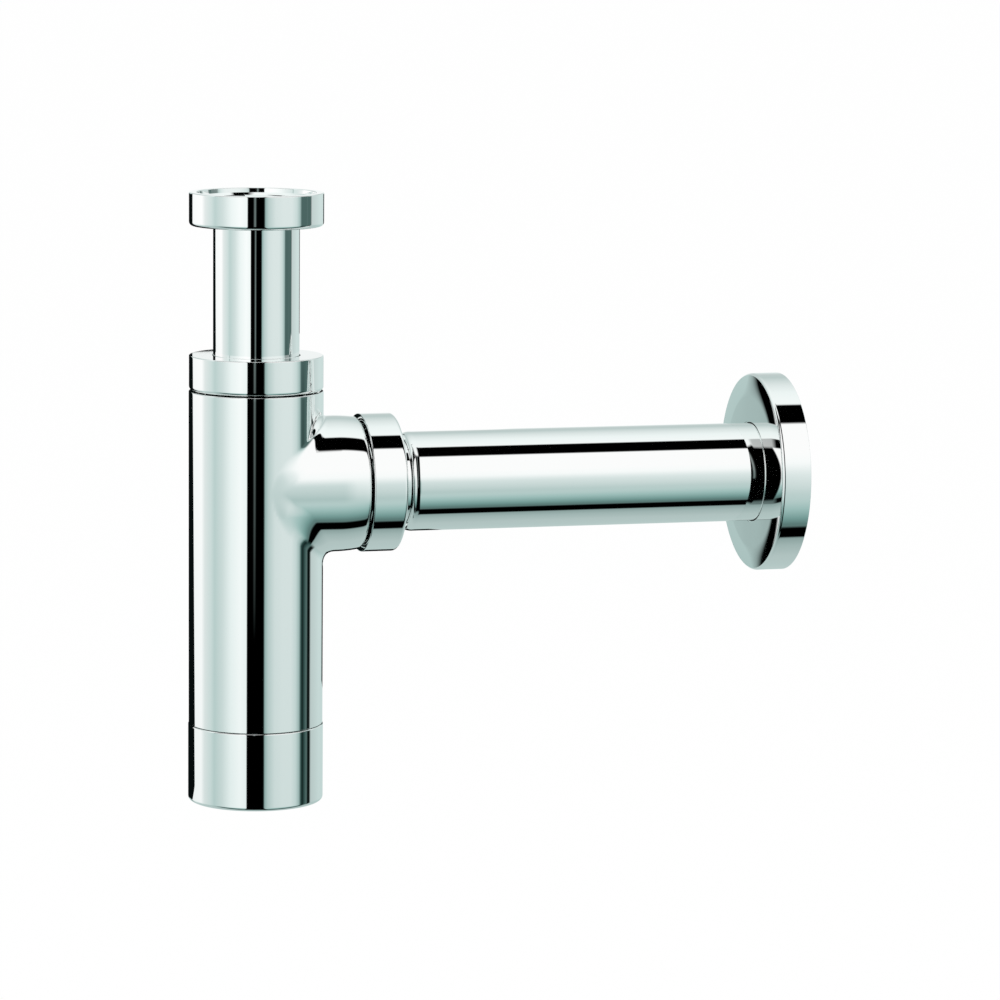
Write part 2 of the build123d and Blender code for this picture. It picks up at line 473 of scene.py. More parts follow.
def new_material(name: str) -> tuple[bpy.types.Material, Graph]:
    """Makes a material.

    Args:
        name: The material's name.

    Returns:
        The material and the helper for its nodes.
    """
    material = bpy.data.materials.new(name)
    material.use_nodes = True
    return material, Graph(material.node_tree)


def surface_group() -> bpy.types.NodeTree:
    """Builds the shared group for a polished or moulded surface.

    Returns:
        A shader node group that gives a roughness and a height from Object coordinates.
    """
    group = bpy.data.node_groups.new("worked_surface", "ShaderNodeTree")
    graph = Graph(group)
    for name in ("Smudge Scale", "Rough Low", "Rough High", "Grain Scale"):
        group.interface.new_socket(name=name, in_out="INPUT", socket_type="NodeSocketFloat")
    for name in ("Roughness", "Height"):
        group.interface.new_socket(name=name, in_out="OUTPUT", socket_type="NodeSocketFloat")
    given, result = graph.add("NodeGroupInput"), graph.add("NodeGroupOutput")
    place = graph.add("ShaderNodeTexCoord").outputs["Object"]
    smudge = graph.add("ShaderNodeTexNoise")
    grain = graph.add("ShaderNodeTexNoise")
    for node, detail, scale in ((smudge, 5.0, "Smudge Scale"), (grain, 1.0, "Grain Scale")):
        graph.feed(node.inputs["Vector"], place)
        graph.feed(node.inputs["Detail"], detail)
        graph.feed(node.inputs["Scale"], given.outputs[scale])
    clean, smudged = 0.45, 0.72
    rough = graph.spread(
        smudge.outputs["Fac"], clean, smudged, given.outputs["Rough Low"], given.outputs["Rough High"])
    graph.feed(result.inputs["Roughness"], rough)
    graph.feed(result.inputs["Height"], grain.outputs["Fac"])
    return group


@dataclass(frozen=True)
class Finish:
    """A finish whose roughness and fine relief come from the shared surface group."""

    name: str
    colour: Colour
    metallic: float
    rough_low: float
    rough_high: float
    smudge_scale: float
    grain_scale: float
    grain_depth: float

    def build(self, surface: bpy.types.NodeTree) -> bpy.types.Material:
        """Makes the material.

        Args:
            surface: The shared surface group.

        Returns:
            The finished material.
        """
        material, graph = new_material(self.name)
        shader = graph.tree.nodes["Principled BSDF"]
        shader.inputs["Base Color"].default_value = (*self.colour, 1.0)
        shader.inputs["Metallic"].default_value = self.metallic
        group = graph.add("ShaderNodeGroup", node_tree=surface)
        for name, value in (("Smudge Scale", self.smudge_scale), ("Rough Low", self.rough_low),
                            ("Rough High", self.rough_high), ("Grain Scale", self.grain_scale)):
            group.inputs[name].default_value = value
        bump = graph.add("ShaderNodeBump")
        bump.inputs["Distance"].default_value = self.grain_depth
        graph.feed(shader.inputs["Roughness"], group.outputs["Roughness"])
        graph.feed(bump.inputs["Height"], group.outputs["Height"])
        graph.feed(shader.inputs["Normal"], bump.outputs["Normal"])
        return material


CHROME = Finish(
    "chrome_plating", (0.965, 0.975, 0.97), metallic=1.0, rough_low=0.015, rough_high=0.04,
    smudge_scale=38.0, grain_scale=45.0, grain_depth=0.00001)
RUBBER = Finish(
    "seal_rubber_moulded", (0.022, 0.022, 0.023), metallic=0.0, rough_low=0.5, rough_high=0.72,
    smudge_scale=60.0, grain_scale=900.0, grain_depth=0.00004)
PLASTIC = Finish(
    "ring_plastic_moulded", (0.78, 0.78, 0.75), metallic=0.0, rough_low=0.35, rough_high=0.5,
    smudge_scale=60.0, grain_scale=700.0, grain_depth=0.00003)


@dataclass
class Workshop:
    """What every piece is made and dressed with."""

    lathe: Lathe
    finishes: dict[Slot, bpy.types.Material]
    bodies: dict[str, str]

    def dress(self, piece: bpy.types.Object, node: str, stands_for: bool) -> None:
        """Plates a piece with chrome and fixes it to the body that carries a CAD node.

        Args:
            piece: The new piece.
            node: The CAD node that it belongs to.
            stands_for: Whether the piece is shown in place of the node.
        """
        piece.data.materials.clear()
        piece.data.materials.append(self.finishes[Slot.CHROME])
        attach(piece, self.bodies[node])
        if stands_for:
            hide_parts(node)
        log.info("made %s with %d faces", piece.name, len(piece.data.polygons))

    def complete(self, piece: bpy.types.Object, node: str, stands_for: bool,
                 outlet_z: float | None = None) -> None:
        """Lays a turned piece on the outlet if it belongs there, polishes it and dresses it.

        Args:
            piece: The new piece.
            node: The CAD node that it belongs to.
            stands_for: Whether the piece is shown in place of the node.
            outlet_z: Height of the outlet's axis, for a piece that sits on it.
        """
        if outlet_z is not None:
            self.lathe.lay_on_outlet(piece, outlet_z)
        self.lathe.polish(piece)
        self.dress(piece, node, stands_for)


@dataclass(frozen=True)
class Fit:
    """How the threaded pieces meet: gaps and thread starts in millimetres, and lengths in turns."""

    neck_turns: float = 3.25
    union_start: float = 1.3
    union_turns: float = 2.3
    union_lead: float = 1.5
    cup_start: float = 8.0
    cup_turns: float = 4.6
    cup_inner_turns: float = 4.5
    cup_gap: float = 0.2
    cup_ledge: float = 1.9
    slide_gap: float = 0.3


FIT = Fit()


@dataclass
class UnionNut:
    """Round nut with a hole in its floor, a plain mouth and a thread between them, in millimetres."""

    node: str
    mouth: Mouth
    low: float
    high: float
    radius: float
    thread: ThreadForm
    thread_start: float
    mouth_round: float
    floor_round: float
    thread_turns: float = 1.45
    relief_top: float = 4.2
    bore: float = 16.3
    floor: float = 2.2
    lip: float = 1.7
    lip_flare: float = 0.38
    mouth_chamfer: float = 0.9
    relief: float = 0.4
    rim_round: float = 0.25

    def build(self, shop: Workshop, outlet_z: float | None = None) -> None:
        """Turns the nut, winds its thread and dresses both.

        Args:
            shop: What the pieces are made with.
            outlet_z: Height of the outlet's axis, for a nut that sits on it.
        """
        height = self.high - self.low
        wall, throat_r = self.thread.wall, self.thread.wall + self.mouth_chamfer
        throat = height - self.lip
        corners = [
            (self.bore, 0), (self.radius, 0), (self.radius, height), (throat_r + self.lip_flare, height),
            (throat_r, throat), (wall, throat - self.mouth_chamfer), (wall, self.relief_top),
            (wall + self.relief, self.relief_top), (wall + self.relief, self.floor),
            (self.bore, self.floor),
        ]
        rounds = {0: self.rim_round, 1: self.floor_round, 2: self.mouth_round, 3: self.rim_round,
                  len(corners) - 1: self.rim_round}
        base = self.low if self.mouth is Mouth.UP else self.high
        placed = [(radius, base + self.mouth.value * rise) for radius, rise in eased(corners, rounds)]
        shell = shop.lathe.turn(f"{self.node}_shell", placed)
        ridge = shop.lathe.wind(
            f"{self.node}_thread", self.thread, Side.INNER, self.thread_start, self.thread_turns)
        for piece in (shell, ridge):
            shop.complete(piece, self.node, piece is shell, outlet_z)


@dataclass
class Cup:
    """Cleaning cup with a fine thread inside its wall, in millimetres."""

    low: float
    high: float
    radius: float
    thread: ThreadForm
    thread_start: float
    thread_turns: float
    ledge: float
    wall: float = 3.6
    floor: float = 2.5
    edge_round: float = 1.5
    edge_break: float = 0.5
    rim_break_share: float = 0.15
    well_round: float = 3.0
    centre_r: float = 0.4

    def build(self, shop: Workshop) -> None:
        """Turns the cup, winds its thread and dresses both."""
        bore, well = self.thread.wall, self.radius - self.wall
        outline = eased([
            (self.centre_r, self.low), (self.radius, self.low), (self.radius, self.high), (bore, self.high),
            (bore, self.ledge), (well, self.ledge), (well, self.low + self.floor),
            (self.centre_r, self.low + self.floor),
        ], {1: self.edge_round, 2: self.edge_break, 3: self.rim_break_share * (self.radius - bore),
            6: self.well_round})
        shell = shop.lathe.turn("cup_shell", outline, closed=False)
        ridge = shop.lathe.wind("cup_thread", self.thread, Side.INNER, self.thread_start, self.thread_turns)
        for piece in (shell, ridge):
            shop.complete(piece, "cup", piece is shell)


@dataclass
class Sleeve:
    """Thin sleeve over the outlet pipe, its end by the nut drawn in along an ellipse, in millimetres."""

    start: float
    end: float
    radius: float
    bore: float
    wall: float = 0.7
    draw_length: float = 3.0
    draw_depth: float = 1.5
    edge_break: float = 0.15
    steps: int = 12

    def draw(self, inward: float) -> Outline:
        """Quarter ellipse of the drawn-in end.

        Args:
            inward: Distance of the line from the outer skin.

        Returns:
            Points from the end's face to the straight wall.
        """
        length, depth = self.draw_length - inward, self.draw_depth - inward
        arc: Outline = []
        for step in range(self.steps + 1):
            angle = step / self.steps * math.pi / 2
            radius = self.radius - inward - depth * (1 - math.sin(angle))
            arc.append((radius, self.start + self.draw_length - length * math.cos(angle)))
        return arc

    def build(self, shop: Workshop, outlet_z: float) -> None:
        """Turns the sleeve and lays it on the outlet."""
        outline = [
            (self.bore, self.start), *self.draw(0.0), (self.radius, self.end - self.edge_break),
            (self.radius - self.edge_break, self.end), (self.radius - self.wall, self.end),
            *reversed(self.draw(self.wall)), (self.bore, self.start + self.wall),
        ]
        shell = shop.lathe.turn("cover_sleeve_shell", outline)
        shop.complete(shell, "cover_sleeve", True, outlet_z)


@dataclass
class WallFlange:
    """Round flange with a crowned face, a rim back to the wall and a collar behind, in millimetres."""

    face: float
    back: float
    radius: float
    hole: float
    wall: float = 0.8
    edge_round: float = 1.4
    back_round: float = 0.2
    crown_width: float = 9.0
    crown_drop: float = 0.4
    crown_steps: int = 12
    hole_round: float = 0.4
    collar_r: float = 19.9
    collar_length: float = 5.0

    def build(self, shop: Workshop, outlet_z: float) -> None:
        """Turns the flange and lays it on the outlet."""
        flat_r = self.radius - self.crown_width
        bow = (self.crown_width ** 2 + self.crown_drop ** 2) / (2 * self.crown_drop)
        crown: Outline = []
        for step in range(self.crown_steps):
            out = self.crown_width * step / self.crown_steps
            crown.append((flat_r + out, self.face + bow - math.sqrt(bow ** 2 - out ** 2)))
        inside = self.face + self.wall
        rim = self.face + self.crown_drop
        rim_inner_r, collar_outer_r = self.radius - self.wall, self.collar_r + self.wall
        collar_end = inside + self.collar_length
        front = [(self.hole, inside), (self.hole, self.face), *crown, (self.radius, rim)]
        behind = [
            (self.radius, self.back), (rim_inner_r, self.back), (rim_inner_r, rim + self.wall),
            (flat_r, inside), (collar_outer_r, inside), (collar_outer_r, collar_end),
            (self.collar_r, collar_end), (self.collar_r, inside),
        ]
        outline = eased(front + behind, {
            1: self.hole_round, len(front) - 1: self.edge_round, len(front): self.back_round,
            len(front) + 1: self.back_round})
        shell = shop.lathe.turn("wall_flange_shell", outline)
        shop.complete(shell, "wall_flange", True, outlet_z)


@dataclass
class BodyCasting:
    """Barrel with the branch blended into its side, two necks and the cup's spigot, in millimetres."""

    top: float
    bottom: float
    outlet_z: float
    spigot_end: float
    neck_top: float
    neck_end: float
    union: ThreadForm
    cup_thread: ThreadForm
    barrel_r: float = 25.0
    branch_root_r: float = 24.9
    branch_end_r: float = 25.7
    branch_reach: float = 39.0
    branch_end_round: float = 1.8
    bend_in_rounds: float = 1.4
    crown_from: float = 28.0
    crown_drop: float = 1.0
    shoulder_relief: float = 0.3
    spigot_bore_r: float = 21.0
    spigot_step: float = 8.0
    chamber_r: float = 22.5
    chamber_slope: float = 2.0
    cutter_overrun: float = 1.0
    roof: float = 3.0
    tube_bore_r: float = 16.3
    seat_depth: float = 4.0
    seat_mouth_r: float = 19.305
    core_r: float = 21.1
    core_end: float = 29.0
    stop_r: float = 15.1
    stop_width: float = 1.5
    top_edge_break: float = 0.4
    bottom_edge_break: float = 0.15
    blend_reach: float = 34.0
    blend_wide: float = 3.1
    blend_lean: float = 1.4
    blend_from: float = -2.0
    blend_full: float = 8.0
    blend_front: float = 0.25
    blend_aside: float = 9.0
    least_blend: float = 0.001
    blend_passes: int = 6
    skin_depth: float = 0.03
    skin_margin: float = 0.1
    alike_over: float = 0.6
    root_fall: float = 0.05
    ring_pitch: float = 1.0

    def build(self, shop: Workshop) -> None:
        """Turns, joins, bores and blends the casting, winds its threads and dresses all of them."""
        casting = self.outside(shop.lathe)
        self.carve(casting, self.barrel_bore(shop.lathe), "DIFFERENCE")
        self.carve(casting, self.branch_bore(shop.lathe), "DIFFERENCE")
        self.tidy(casting)
        self.blend(casting, shop.lathe)
        shop.dress(casting, "trap_body", True)
        for name, thread, start, turns, axis_z in (
                ("top_neck_thread", self.union, self.top + FIT.union_start, FIT.union_turns, None),
                ("branch_neck_thread", self.union, self.branch_reach + FIT.union_start, FIT.union_turns,
                 self.outlet_z),
                ("spigot_thread", self.cup_thread, self.bottom - FIT.cup_start, FIT.cup_turns, None)):
            ridge = shop.lathe.wind(name, thread, Side.OUTER, start, turns)
            shop.complete(ridge, "trap_body", False, axis_z)

    def outside(self, lathe: Lathe) -> bpy.types.Object:
        """Joins the solid barrel and branch, with close rings where they will be blended."""
        low, high = self.outlet_z - self.blend_reach, self.outlet_z + self.blend_reach
        rings = round((high - low) / self.ring_pitch)
        ends = eased([
            (self.cup_thread.core, self.spigot_end), (self.cup_thread.core, self.bottom),
            (self.barrel_r, self.bottom), (self.barrel_r, self.top), (self.union.core, self.top),
            (self.union.core, self.neck_top),
        ], {2: self.bottom_edge_break, 3: self.top_edge_break})
        wall = [(self.barrel_r, height) for height in divided(low, high, rings)]
        below = [point for point in ends if point[1] < low]
        above = [point for point in ends if point[1] > high]
        barrel = lathe.turn("trap_body_casting", below + wall + above, closed=False)

        end = self.branch_reach - self.shoulder_relief
        bend = end - self.bend_in_rounds * self.branch_end_round
        root = [(self.branch_r(x), x) for x in divided(0.0, bend, rings // 2)]
        tip = eased([
            root[-1], (self.branch_r(end), end), (self.union.core, end),
            (self.union.core, self.neck_end),
        ], {1: self.branch_end_round})
        branch = lathe.turn("branch", root + tip[1:], closed=False)
        lathe.lay_on_outlet(branch, self.outlet_z)
        self.carve(barrel, branch, "UNION")
        return barrel

    def barrel_bore(self, lathe: Lathe) -> bpy.types.Object:
        """Cutter for the chamber and the top neck's bore and seat."""
        chamber_low = self.bottom + self.spigot_step
        return lathe.turn("barrel_bore", [
            (self.spigot_bore_r, self.spigot_end - self.cutter_overrun), (self.spigot_bore_r, chamber_low),
            (self.chamber_r, chamber_low + self.chamber_slope), (self.chamber_r, self.top - self.roof),
            (self.tube_bore_r, self.top - self.roof), (self.tube_bore_r, self.neck_top - self.seat_depth),
            (self.seat_mouth_r, self.neck_top), (self.seat_mouth_r, self.neck_top + self.cutter_overrun),
        ], closed=False)

    def branch_bore(self, lathe: Lathe) -> bpy.types.Object:
        """Cutter for the branch's bore, its pipe stop and its seat."""
        stop_end = self.core_end + self.stop_width
        cutter = lathe.turn("branch_bore", [
            (self.core_r, 0), (self.core_r, self.core_end), (self.stop_r, self.core_end),
            (self.stop_r, stop_end), (self.tube_bore_r, stop_end),
            (self.tube_bore_r, self.neck_end - self.seat_depth), (self.seat_mouth_r, self.neck_end),
            (self.seat_mouth_r, self.neck_end + self.cutter_overrun),
        ], closed=False)
        lathe.lay_on_outlet(cutter, self.outlet_z)
        return cutter

    @staticmethod
    def carve(piece: bpy.types.Object, tool: bpy.types.Object, operation: str) -> None:
        """Joins a tool to a piece or cuts it out, and takes the tool away."""
        only(piece)
        step = piece.modifiers.new("carve", "BOOLEAN")
        step.operation, step.object, step.solver = operation, tool, "EXACT"
        bpy.ops.object.modifier_apply(modifier=step.name)
        bpy.data.objects.remove(tool)

    @staticmethod
    def tidy(piece: bpy.types.Object) -> None:
        """Merges doubled points and splits many-sided faces, so that the blend can bend them."""
        only(piece)
        bpy.ops.object.mode_set(mode="EDIT")
        bpy.ops.mesh.select_all(action="SELECT")
        bpy.ops.mesh.remove_doubles(threshold=MERGE_UNDER)
        bpy.ops.mesh.select_all(action="DESELECT")
        bpy.ops.mesh.select_face_by_sides(number=4, type="GREATER")
        bpy.ops.mesh.quads_convert_to_tris(quad_method="BEAUTY", ngon_method="BEAUTY")
        bpy.ops.object.mode_set(mode="OBJECT")

    def branch_r(self, x: float | np.ndarray) -> float | np.ndarray:
        """Branch's outer radius, crowned at its end and falling away behind the barrel's axis.

        Args:
            x: Distance along the outlet, or many of them.

        Returns:
            The radius at each distance.
        """
        taper = (self.branch_end_r - self.branch_root_r) / self.branch_reach
        crown = np.clip((x - self.crown_from) / (self.branch_reach - self.crown_from), 0, 1)
        fall = self.root_fall * np.minimum(x, 0) ** 2 + self.crown_drop * crown ** 2
        return self.branch_root_r + taper * x - fall

    def outside_distances(self, place: np.ndarray) -> tuple[np.ndarray, np.ndarray]:
        """Distances of points from the barrel's and the branch's outer surface.

        Args:
            place: Points in millimetres, one in each row.

        Returns:
            Distance outward from the barrel and from the branch.
        """
        x, y, z = place.T
        return np.hypot(x, y) - self.barrel_r, np.hypot(y, z - self.outlet_z) - self.branch_r(x)

    @staticmethod
    def ease(share: np.ndarray) -> np.ndarray:
        """Shares held between 0 and 1, with soft ends."""
        held = np.clip(share, 0, 1)
        return held ** 2 * (3 - 2 * held)

    def blended(self, place: np.ndarray) -> np.ndarray:
        """Distances of points from the surface that blends barrel and branch.

        Args:
            place: Points in millimetres, one in each row.

        Returns:
            Distance outward, which is zero on the surface.
        """
        barrel, branch = self.outside_distances(place)
        along = self.ease((place[:, 0] - self.blend_from) / (self.blend_full - self.blend_from))
        rise = place[:, 2] - self.outlet_z
        aside = self.blend_front + (1 - self.blend_front) * self.ease(np.abs(rise) / self.blend_aside)
        widest = self.blend_wide - self.blend_lean * rise / self.barrel_r
        width = widest * along * aside + self.least_blend
        part = np.clip(0.5 + 0.5 * (branch - barrel) / width, 0, 1)
        return barrel * part + branch * (1 - part) - width * part * (1 - part)

    def slope(self, place: np.ndarray) -> np.ndarray:
        """Directions in which the blended distance grows.

        Args:
            place: Points in millimetres, one in each row.

        Returns:
            Outward direction at each point, as long as the distance is steep there.
        """
        step = 0.01
        parts = []
        for axis in np.eye(3) * step:
            parts.append((self.blended(place + axis) - self.blended(place - axis)) / (2 * step))
        return np.stack(parts, axis=1)

    def blend(self, piece: bpy.types.Object, lathe: Lathe) -> None:
        """Moves the skin round the branch onto the blended surface and gives it that surface's normals.

        Args:
            piece: The bored casting.
            lathe: What polishes the rest of it.
        """
        mesh = piece.data
        place = np.empty(len(mesh.vertices) * 3)
        mesh.vertices.foreach_get("co", place)
        place = place.reshape(-1, 3) / MM
        near = np.minimum(*self.outside_distances(place))
        reach = self.blend_reach + self.skin_margin
        inside = (np.abs(place[:, 2] - self.outlet_z) < reach) & (place[:, 0] < reach)
        skin = (np.abs(near) < self.skin_depth) & inside
        moved = place[skin]
        for _ in range(self.blend_passes):
            slope = self.slope(moved)
            moved -= slope * (self.blended(moved) / (slope ** 2).sum(axis=1))[:, None]
        place[skin] = moved
        mesh.vertices.foreach_set("co", (place * MM).ravel())
        mesh.update()
        lathe.polish(piece)

        outward = np.zeros_like(place)
        outward[skin] = self.slope(moved)
        outward[skin] /= np.linalg.norm(outward[skin], axis=1)[:, None]
        corner_points = np.empty(len(mesh.loops), dtype=int)
        mesh.loops.foreach_get("vertex_index", corner_points)
        normals = np.empty(len(mesh.loops) * 3)
        mesh.corner_normals.foreach_get("vector", normals)
        normals = normals.reshape(-1, 3)
        wanted = outward[corner_points]
        alike = (normals * wanted).sum(axis=1) > self.alike_over
        normals[alike] = wanted[alike]
        mesh.normals_split_custom_set(normals.tolist())


@dataclass
class Flag:
    """Upright black card behind or close beside the object, seen only in reflections, in metres."""

    name: str
    left: float
    right: float
    low: float
    high: float
    depth: float
    top_share: float = 1.0
    colour: Colour = (0.002, 0.004, 0.004)

    def build(self) -> None:
        """Stands the card up and pulls in the upper end of its left edge."""
        bpy.ops.object.select_all(action="DESELECT")
        bpy.ops.mesh.primitive_plane_add(size=1.0)
        card = bpy.context.object
        card.name = self.name
        bpy.ops.object.mode_set(mode="EDIT")
        bpy.ops.transform.rotate(value=math.pi / 2, orient_axis="X", center_override=(0, 0, 0))
        bpy.ops.transform.resize(
            value=(self.right - self.left, 1, self.high - self.low), center_override=(0, 0, 0))
        middle = (self.low + self.high) / 2
        bpy.ops.transform.translate(value=((self.left + self.right) / 2, self.depth, middle))
        Lathe.pick_points(card, lambda place: place.z > middle)
        bpy.ops.transform.resize(
            value=(self.top_share, 1, 1), center_override=(self.right, self.depth, self.high))
        bpy.ops.object.mode_set(mode="OBJECT")
        for ray in ("camera", "diffuse", "shadow", "transmission", "volume_scatter"):
            setattr(card, f"visible_{ray}", False)
        material, graph = new_material(self.name)
        black = graph.add("ShaderNodeEmission")
        black.inputs["Color"].default_value = (*self.colour, 1.0)
        graph.feed(graph.tree.nodes["Material Output"].inputs["Surface"], black.outputs[0])
        card.data.materials.append(material)
        card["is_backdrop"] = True


@dataclass
class Studio:
    """White floor, black flags, mirrored room, one soft lamp and the camera, in metres."""

    camera_place: Vector = field(default_factory=lambda: Vector((-0.3578, -1.6216, 0.1254)))
    camera_target: Vector = field(default_factory=lambda: Vector((0.09423, 0.0, -0.1112)))
    camera_roll: float = math.radians(0.55)
    lens: float = 162.05
    sensor: float = 36.0
    nearest: float = 0.05
    farthest: float = 80.0
    floor_drop: float = 0.16
    floor_size: float = 60.0
    floor_colour: Colour = (0.9, 0.9, 0.9)
    floor_roughness: float = 0.8
    floor_glow: float = 0.98
    lamp_place: Vector = field(default_factory=lambda: Vector((-0.2, -0.5, 1.4)))
    lamp_size: float = 1.6
    lamp_power: float = 12.0
    soft_light: Colour = (0.86, 0.87, 0.87)

    def aim(self, data: bpy.types.Camera | bpy.types.Light, place: Vector, roll: float) -> bpy.types.Object:
        """Sets up a camera or a lamp and turns it to the camera's target.

        Args:
            data: The camera or light.
            place: Where it stands.
            roll: Its turn about its own line of sight.

        Returns:
            The new object.
        """
        item = bpy.data.objects.new(data.name, data)
        bpy.context.scene.collection.objects.link(item)
        item.location = place
        item.rotation_mode = "QUATERNION"
        turn = (self.camera_target - place).to_track_quat("-Z", "Y")
        item.rotation_quaternion = turn @ Quaternion((0, 0, 1), roll)
        return item

    def add_camera(self) -> None:
        """Places the camera at the photograph's viewing angle."""
        data = bpy.data.cameras.new("camera")
        data.lens, data.sensor_width = self.lens, self.sensor
        data.clip_start, data.clip_end = self.nearest, self.farthest
        bpy.context.scene.camera = self.aim(data, self.camera_place, self.camera_roll)

    def add_lamp(self) -> None:
        """Hangs one soft lamp over the object, which the chrome doesn't show."""
        data = bpy.data.lights.new("soft_lamp", "AREA")
        data.size, data.energy = self.lamp_size, self.lamp_power
        self.aim(data, self.lamp_place, 0.0).visible_glossy = False

    def add_floor(self, lowest: float) -> None:
        """Lays the pale floor under the object.

        Args:
            lowest: Height of the object's lowest point.
        """
        bpy.ops.object.select_all(action="DESELECT")
        bpy.ops.mesh.primitive_plane_add(size=self.floor_size, location=(0, 0, lowest - self.floor_drop))
        floor = bpy.context.object
        floor.name = "floor"
        floor.visible_glossy = False
        material, graph = new_material("floor_white")
        shader = graph.tree.nodes["Principled BSDF"]
        shader.inputs["Base Color"].default_value = (*self.floor_colour, 1.0)
        shader.inputs["Roughness"].default_value = self.floor_roughness
        glow = graph.add("ShaderNodeEmission")
        camera_ray = graph.add("ShaderNodeLightPath").outputs["Is Camera Ray"]
        blend = graph.add("ShaderNodeMixShader")
        graph.feed(blend.inputs[0], graph.math("MULTIPLY", camera_ray, self.floor_glow))
        graph.feed(blend.inputs[1], shader.outputs[0])
        graph.feed(blend.inputs[2], glow.outputs[0])
        graph.feed(graph.tree.nodes["Material Output"].inputs["Surface"], blend.outputs[0])
        floor.data.materials.append(material)
        floor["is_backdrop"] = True

    def add_flags(self) -> None:
        """Stands up the black cards that give the upright pieces' edges their dark lines."""
        for flag in (
                Flag("flag_left", -0.1945, 0.017, -0.27, -0.005, 0.2, top_share=0.586),
                Flag("flag_left_of_tube", 0.017, 0.027, -0.085, -0.034, 0.2),
                Flag("flag_right_of_barrel", 0.045, 0.099, -0.2, -0.151, 0.1),
                Flag("flag_right_of_top_nut", 0.0275, 0.0298, -0.0692, -0.0562, 0.012),
                Flag("flag_right_of_tube", 0.0185, 0.026, -0.048, -0.008, 0.012),
                Flag("flag_right_of_inlet_nut", 0.0275, 0.0365, -0.0085, 0.0045, 0.012)):
            flag.build()

    def add_world(self) -> None:
        """Makes the pale room with dark bands that the chrome mirrors, and the plain white seen past it."""
        world = bpy.data.worlds.new("studio")
        bpy.context.scene.world = world
        world.use_nodes = True
        graph = Graph(world.node_tree)
        world.node_tree.nodes.clear()
        split = graph.add("ShaderNodeSeparateXYZ")
        graph.feed(split.inputs[0], graph.add("ShaderNodeTexCoord").outputs["Generated"])
        x, y, z = split.outputs
        pattern = self.room(graph, x, y, z)
        rays = graph.add("ShaderNodeLightPath")
        lit = graph.mix("MIX", rays.outputs["Is Glossy Ray"], self.soft_light, pattern)
        white = graph.math("MAXIMUM", rays.outputs["Is Camera Ray"], rays.outputs["Is Transmission Ray"])
        seen = graph.mix("MIX", white, lit, (1.0, 1.0, 1.0))
        background = graph.add("ShaderNodeBackground")
        graph.feed(background.inputs["Color"], seen)
        output = graph.add("ShaderNodeOutputWorld")
        graph.feed(output.inputs["Surface"], background.outputs[0])

    def room(self, graph: Graph, x: Source, y: Source, z: Source) -> bpy.types.NodeSocket:
        """Colour of the room in one direction.

        Args:
            graph: The world's nodes.
            x: The direction's part along the outlet.
            y: Its part away from the camera's side.
            z: Its upward part.

        Returns:
            The colour that a mirror shows in that direction.
        """
        black, white = grey(0.0), grey(1.0)
        away = (self.camera_place - self.camera_target).to_2d().normalized()
        toward = graph.math("ADD", graph.math("MULTIPLY", x, away.x), graph.math("MULTIPLY", y, away.y))
        right = graph.math("ADD", graph.math("MULTIPLY", x, -away.y), graph.math("MULTIPLY", y, away.x))
        around = graph.turns(right, toward)
        over = graph.turns(z, graph.math("MULTIPLY", y, -1.0))
        level = graph.math("SQRT", graph.math("SUBTRACT", 1.0, graph.math("MULTIPLY", z, z)))
        lift = graph.turns(z, level)

        # The lying pieces mirror this sweep, by how far a direction is tipped up from the camera's side,
        # with two black bars that stand only where the direction hardly leans along the outlet.
        sweep = [
            (-180, grey(0.82, 0.03)), (-140, grey(0.79, 0.075)), (-110, grey(0.77, 0.07)),
            (-90, grey(0.715, 0.08)), (-58, grey(0.47, 0.12)), (-50, grey(0.61, 0.15)),
            (-38, grey(0.745, 0.13)), (-24, grey(0.83, 0.08)), (-10, grey(0.91, 0.04)),
            (4, grey(0.97, 0.02)), (18, grey(0.995, 0.01)), (28, white), (60, white),
            (95, grey(0.985, 0.02)), (112, grey(0.97, 0.03)), (128, grey(0.91, 0.035)),
            (150, grey(0.80, 0.06)), (180, grey(0.82, 0.03)),
        ]
        top_bar = graph.ramp(over, [(63.5, white), (65.5, black), (90.0, black), (92.0, white)])
        low_bar = graph.ramp(over, [(-78.0, white), (-76.0, black), (-62.5, black), (-60.0, white)])
        outward = graph.math(
            "MAXIMUM", graph.spread(x, 0.02, 0.14, 0.0, 1.0), graph.spread(x, -0.25, -0.4, 0.0, 1.0))
        bars = graph.mix("MIX", outward, white, graph.times(top_bar, low_bar))
        heights = graph.times(graph.ramp(over, sweep), bars)

